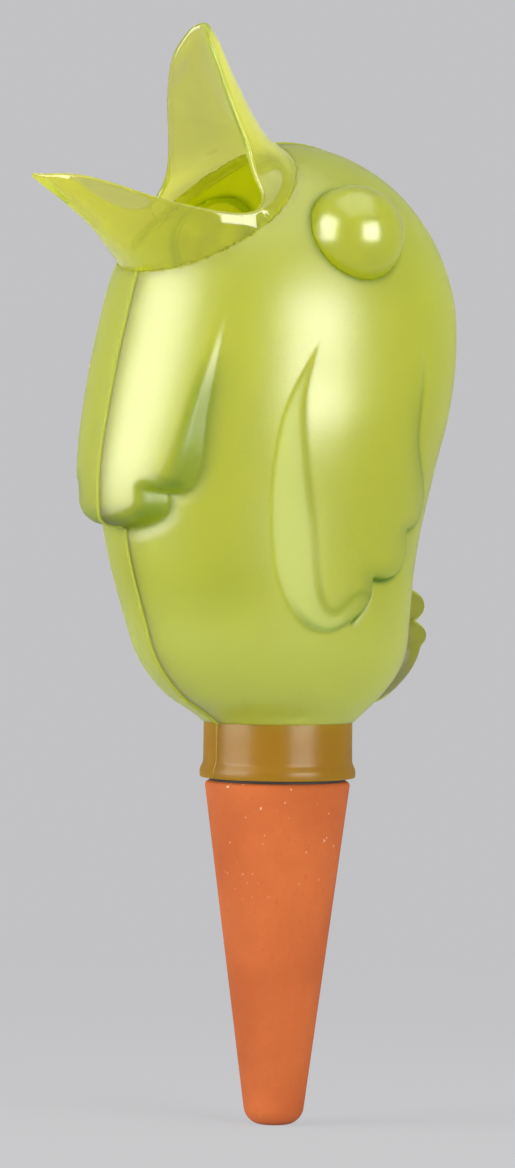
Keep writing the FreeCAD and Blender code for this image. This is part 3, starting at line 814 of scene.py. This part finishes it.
class Nodes:
    """A tree of shading nodes, with short ways to add and link them."""

    def __init__(self, tree):
        self.nodes = tree.nodes
        self.links = tree.links

    def add(self, kind, **settings):
        """A node with its settings, and with its inputs by name."""
        node = self.nodes.new(kind)
        for name, value in settings.items():
            if hasattr(node, name):
                setattr(node, name, value)
            else:
                node.inputs[name.replace("_", " ")].default_value = value
        return node

    def link(self, source, target):
        self.links.new(source, target)

    def combined(self, operation, first, second):
        """Two values added or multiplied, held between 0 and 1."""
        node = self.add("ShaderNodeMath", operation=operation, use_clamp=True)
        for socket, value in zip(node.inputs, (first, second)):
            if isinstance(value, float):
                socket.default_value = value
            else:
                self.link(value, socket)
        return node.outputs["Value"]

    def carried(self, value, low, high, to_low=0.0, to_high=1.0):
        """A value carried from one range to another, held past its ends."""
        node = self.add("ShaderNodeMapRange", From_Min=low, From_Max=high,
                        To_Min=to_low, To_Max=to_high)
        self.link(value, node.inputs["Value"])
        return node.outputs["Result"]

    def tinted(self, share, below, above):
        """A share of one colour over another, which may come from a node."""
        mix = self.add("ShaderNodeMix", data_type="RGBA")
        self.link(share, mix.inputs["Factor"])
        if isinstance(below, tuple):
            mix.inputs[MIX_BELOW].default_value = below
        else:
            self.link(below, mix.inputs[MIX_BELOW])
        mix.inputs[MIX_ABOVE].default_value = above
        return mix.outputs[MIX_RESULT]

    def mixed(self, share, below, above):
        """A share of one surface over another."""
        mix = self.add("ShaderNodeMixShader")
        if isinstance(share, float):
            mix.inputs["Fac"].default_value = share
        else:
            self.link(share, mix.inputs["Fac"])
        self.link(below, mix.inputs[1])
        self.link(above, mix.inputs[2])
        return mix.outputs["Shader"]

    def backdrop_rays(self):
        """1 for rays that see the plain backdrop: the camera's, and those passed on or mirrored."""
        path = self.add("ShaderNodeLightPath")
        seen = path.outputs["Is Camera Ray"]
        for label in ("Is Transmission Ray", "Is Glossy Ray"):
            seen = self.combined("ADD", seen, path.outputs[label])
        return seen


class Finish(Nodes):
    """A material being built."""

    def __init__(self, name, **values):
        self.material = bpy.data.materials.new(name)
        self.material.use_nodes = True
        super().__init__(self.material.node_tree)
        self.shader = self.nodes["Principled BSDF"]
        self.output = self.nodes["Material Output"]
        self.place = self.add("ShaderNodeTexCoord").outputs["Object"]
        for label, value in values.items():
            self.shader.inputs[label.replace("_", " ")].default_value = value

    def bumpy(self, height, strength, distance):
        """Small unevenness of the surface."""
        bump = self.add("ShaderNodeBump", Strength=strength, Distance=distance)
        self.link(height, bump.inputs["Height"])
        self.link(bump.outputs["Normal"], self.shader.inputs["Normal"])

    def grainy(self, scale, strength):
        """A fine even grain on the surface."""
        noise = self.add("ShaderNodeTexNoise", Scale=scale, Detail=2)
        self.link(self.place, noise.inputs["Vector"])
        self.bumpy(noise.outputs["Fac"], strength, GRAIN_HEIGHT)

    def absorbing(self, color, density):
        """Colour that deepens with the way of the light through the plastic."""
        absorb = self.add("ShaderNodeVolumeAbsorption", Color=color, Density=density)
        self.link(absorb.outputs["Volume"], self.output.inputs["Volume"])


PLASTIC_IOR = 1.46
GRAIN_HEIGHT = 0.0001
CLAY_GRAIN_HEIGHT = 0.0002
# Painted shade in creases keeps only this share of the coat.
PAINTED_SHADE_COAT = 0.05
GLOW_UNDER_BODY = 0.35
# How much painted light thickens the haze.
PAINTED_LIGHT_HAZE = 0.45
MOST_HAZE = 0.70

# What each plastic passes, glows with and scatters.
GREEN = (0.99, 0.96, 0.05, 1), (0.98, 0.93, 0.03, 1), (0.66, 0.62, 0.008, 1)
# The seam bead's paler green is a painted highlight along the raised seam.
SEAM_HIGHLIGHT_GREEN = (0.82, 0.90, 0.22, 1), (0.80, 0.84, 0.18, 1), (0.56, 0.59, 0.12, 1)
# Painted light: the paler colours that painted light gives the satin plastic.
PAINTED_LIGHT_TINTS = (0.99, 0.99, 0.65, 1), (0.98, 0.98, 0.45, 1), (0.95, 0.95, 0.42, 1)
GOLD = (0.84, 0.60, 0.03, 1), (0.84, 0.58, 0.02, 1), (0.53, 0.29, 0.006, 1)
# Painted shade: the dark green of the painted shade in creases.
PAINTED_SHADE_GREEN = (0.12, 0.30, 0.008, 1)


def satin_plastic(name, coat, coat_roughness, grain, tints, least_haze):
    """Milky plastic: clear with a rough skin, and a haze, denser where it is thick or has painted
    light; painted shade turns its creases dark green.
    """
    finish = Finish(name, Roughness=0.34, Transmission_Weight=1.0, IOR=PLASTIC_IOR,
                    Coat_Roughness=coat_roughness, Coat_IOR=1.9)
    finish.grainy(1400, grain)
    painted_crease_shade, painted_light, thick = (finish.add("ShaderNodeAttribute", attribute_name=label).outputs["Fac"]
                           for label in ("painted_crease_shade", "painted_light", "thick"))
    # Painted shade in creases also takes off most of the coat.
    shine = finish.carried(painted_crease_shade, 0.0, 1.0, coat, PAINTED_SHADE_COAT * coat)
    finish.link(shine, finish.shader.inputs["Coat Weight"])
    glow = finish.add("ShaderNodeBsdfTranslucent")
    body = finish.add("ShaderNodeBsdfDiffuse")
    colored = finish.shader.inputs["Base Color"], glow.inputs["Color"], body.inputs["Color"]
    for socket, tint, painted_tint in zip(colored, tints, PAINTED_LIGHT_TINTS):
        # Painted light turns the colour paler, and painted shade in creases turns it dark green.
        color = finish.tinted(painted_crease_shade, finish.tinted(painted_light, tint, painted_tint), PAINTED_SHADE_GREEN)
        finish.link(color, socket)
    hazy = finish.mixed(GLOW_UNDER_BODY, glow.outputs["BSDF"], body.outputs["BSDF"])
    # The haze is denser where there is painted light and where the plastic is thick.
    denser = finish.combined("ADD", finish.combined("MULTIPLY", painted_light, PAINTED_LIGHT_HAZE), thick)
    haze = finish.carried(denser, 0.0, 1.0, least_haze, MOST_HAZE)
    surface = finish.mixed(haze, finish.shader.outputs["BSDF"], hazy)
    finish.link(surface, finish.output.inputs["Surface"])
    finish.absorbing((0.87, 0.94, 0.05, 1), 500)
    return finish.material


def clear_plastic():
    """The polished plastic of the beak."""
    finish = Finish("clear_green_plastic", Base_Color=(1.0, 0.96, 0.44, 1), Roughness=0.03,
                    Transmission_Weight=1.0, IOR=PLASTIC_IOR, Coat_Weight=0.7, Coat_Roughness=0.07,
                    Coat_IOR=1.6)
    glow = finish.add("ShaderNodeBsdfTranslucent", Color=(1.0, 0.96, 0.24, 1))
    surface = finish.mixed(0.27, finish.shader.outputs["BSDF"], glow.outputs["BSDF"])
    finish.link(surface, finish.output.inputs["Surface"])
    finish.absorbing((0.70, 0.82, 0.10, 1), 190)
    return finish.material


def fired_clay():
    """Matt clay with soft clouds, dark and light grains, and pale specks near its top."""
    finish = Finish("fired_clay", Roughness=0.92)

    def cloud(scale, detail, low, high):
        noise = finish.add("ShaderNodeTexNoise", Scale=scale, Detail=detail)
        finish.link(finish.place, noise.inputs["Vector"])
        return finish.carried(noise.outputs["Fac"], low, high)

    height = finish.add("ShaderNodeSeparateXYZ")
    finish.link(finish.place, height.inputs["Vector"])
    near_top = finish.carried(height.outputs["Z"], 0.045, 0.075)
    specks = finish.combined("MULTIPLY", cloud(820, 1, 0.735, 0.765), near_top)
    color = (0.33, 0.066, 0.0080, 1)
    for share, above in ((cloud(45, 5, 0.35, 0.68), (0.42, 0.096, 0.016, 1)),
                         (cloud(900, 3, 0.58, 0.95), (0.29, 0.060, 0.010, 1)),
                         (cloud(620, 2, 0.72, 0.86), (0.50, 0.16, 0.06, 1)),
                         (specks, (0.56, 0.34, 0.24, 1))):
        color = finish.tinted(share, color, above)
    finish.link(color, finish.shader.inputs["Base Color"])
    finish.bumpy(cloud(800, 4, 0.3, 0.7), 0.35, CLAY_GRAIN_HEIGHT)
    return finish.material


def dark_rubber():
    """The rubber of the seal."""
    finish = Finish("seal_rubber", Base_Color=(0.03, 0.03, 0.028, 1), Roughness=0.7)
    finish.grainy(1200, 0.2)
    return finish.material


satin = satin_plastic("satin_green_plastic", 0.80, 0.37, 0.45, GREEN, 0.30)
polished = clear_plastic()
joint = satin_plastic("joint_green_plastic", 0.0, 0.40, 0.02, GREEN, 0.92)
glossy = satin_plastic("glossy_green_plastic", 0.85, 0.23, 0.02, GREEN, 0.30)
# The bead's shape is real; its paler green is a painted highlight along the seam.
seam_highlight_finish = satin_plastic("seam_painted_highlight_plastic", 0.4, 0.40, 0.02, SEAM_HIGHLIGHT_GREEN, 0.90)
amber = satin_plastic("amber_neck_plastic", 0.35, 0.28, 0.15, GOLD, 0.66)
for pair, material in ((shells, satin), (eyes, glossy), (necks, amber)):
    for piece, node in zip(pair, ("left_shell", "right_shell")):
        piece.data.materials.append(material)
        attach(piece, "bird")
        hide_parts(node)
for shell in shells:
    mark_painted_shade_and_light(shell)
    shell.data.materials.append(joint)
beak.data.materials.append(polished)
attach(beak, "bird")
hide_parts("left_shell", "right_shell")
seam_paths = [[(SEAM_SIDE, y, z) for y, z in smoothed(run, 3)] for run in seam_runs(shells[0])]
seams = swept_piece("left_seam_bead", seam_paths, swept_tree("seam_bead", seam_highlight_finish),
                    {"Bead Radius": SEAM_RADIUS * MM, "Spacing": SEAM_SPACING * MM})
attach(seams, "bird")
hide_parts("left_shell")
for node, material in (("clay_cone", fired_clay()), ("neck_seal", dark_rubber())):
    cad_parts[node].data.materials.clear()
    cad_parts[node].data.materials.append(material)


def direction(azimuth, raised):
    """The way out of the object, so far round from the bird's front and above the level."""
    level = math.cos(raised)
    return Vector((math.sin(azimuth) * level, -math.cos(azimuth) * level, math.sin(raised)))


# The camera of the photograph: about 2 m away, and this much of the object's plane in its height.
AZIMUTH, ELEVATION, ROLL = math.radians(54.3), math.radians(2.2), math.radians(0.66)
DISTANCE = 2.0
FRAME_HEIGHT = 0.25486
SENSOR_HEIGHT = 24
AIM_HEIGHT = 0.11815
AIM_ASIDE = 0.00483
camera_data = bpy.data.cameras.new("camera")
camera = placed("camera", camera_data)
bpy.context.scene.camera = camera
back = direction(AZIMUTH, ELEVATION)
across = Vector((math.cos(AZIMUTH), math.sin(AZIMUTH), 0))
axes = Matrix((across, back.cross(across), back)).transposed().to_4x4()
turn = axes @ Matrix.Rotation(ROLL, 4, "Z")
aim = Vector((0, 0, AIM_HEIGHT)) - across * AIM_ASIDE
camera.matrix_world = Matrix.Translation(aim + back * DISTANCE) @ turn
camera_data.sensor_fit = "VERTICAL"
camera_data.sensor_height = SENSOR_HEIGHT
camera_data.lens = SENSOR_HEIGHT * DISTANCE / FRAME_HEIGHT


WINDOW_AIM = 0.16


def window(name, right, up, distance, width, height, power):
    """A soft light so many degrees to the right of and above the camera's direction."""
    data = bpy.data.lights.new(name, "AREA")
    data.shape = "RECTANGLE"
    data.size, data.size_y = width, height
    data.energy = power
    lamp = placed(name, data)
    toward = direction(AZIMUTH + math.radians(right), math.radians(up))
    lamp.location = Vector((0, 0, WINDOW_AIM)) + toward * distance
    lamp.rotation_euler = toward.to_track_quat("Z", "Y").to_euler()


window("left_window", -67, 6, 1.0, 0.9, 1.2, 22.5)
window("right_window", 39, 6, 1.0, 0.65, 0.8, 14)
window("top_window", 20, 78, 1.2, 1.4, 1.4, 9)

# The plain grey backdrop; the object itself is lit by little of it.
GREY = (0.539, 0.539, 0.552, 1)
FILL_LIGHT = 0.17
world = bpy.data.worlds.new("studio")
bpy.context.scene.world = world
world.use_nodes = True
studio = Nodes(world.node_tree)
sky = studio.nodes["Background"]
sky.inputs["Color"].default_value = GREY
strength = studio.carried(studio.backdrop_rays(), 0.0, 1.0, FILL_LIGHT, 1.0)
studio.link(strength, sky.inputs["Strength"])

# The paper floor turns into the backdrop away from the object.
FLOOR_REACH = 3
floor_corners = [(side * FLOOR_REACH, front * FLOOR_REACH, 0)
                 for side, front in ((-1, -1), (1, -1), (1, 1), (-1, 1))]
floor_mesh = bpy.data.meshes.new("floor")
floor_mesh.from_pydata(floor_corners, [], [(0, 1, 2, 3)])
floor = placed("floor", floor_mesh)
PAPER = (0.8, 0.8, 0.81, 1)
NEAR_EDGE, FAR_EDGE = 0.05, 0.45
NEAR_SHARE = 0.88
paper = Finish("floor_paper", Base_Color=PAPER, Roughness=0.9)
backdrop = paper.add("ShaderNodeEmission", Color=GREY)
far = paper.add("ShaderNodeVectorMath", operation="LENGTH")
paper.link(paper.place, far.inputs[0])
plain_share = paper.carried(far.outputs["Value"], NEAR_EDGE, FAR_EDGE, NEAR_SHARE, 1.0)
share = paper.combined("MULTIPLY", paper.backdrop_rays(), plain_share)
surface = paper.mixed(share, paper.shader.outputs["BSDF"], backdrop.outputs["Emission"])
paper.link(surface, paper.output.inputs["Surface"])
floor_mesh.materials.append(paper.material)
bpy.context.scene.view_settings.view_transform = "Standard"
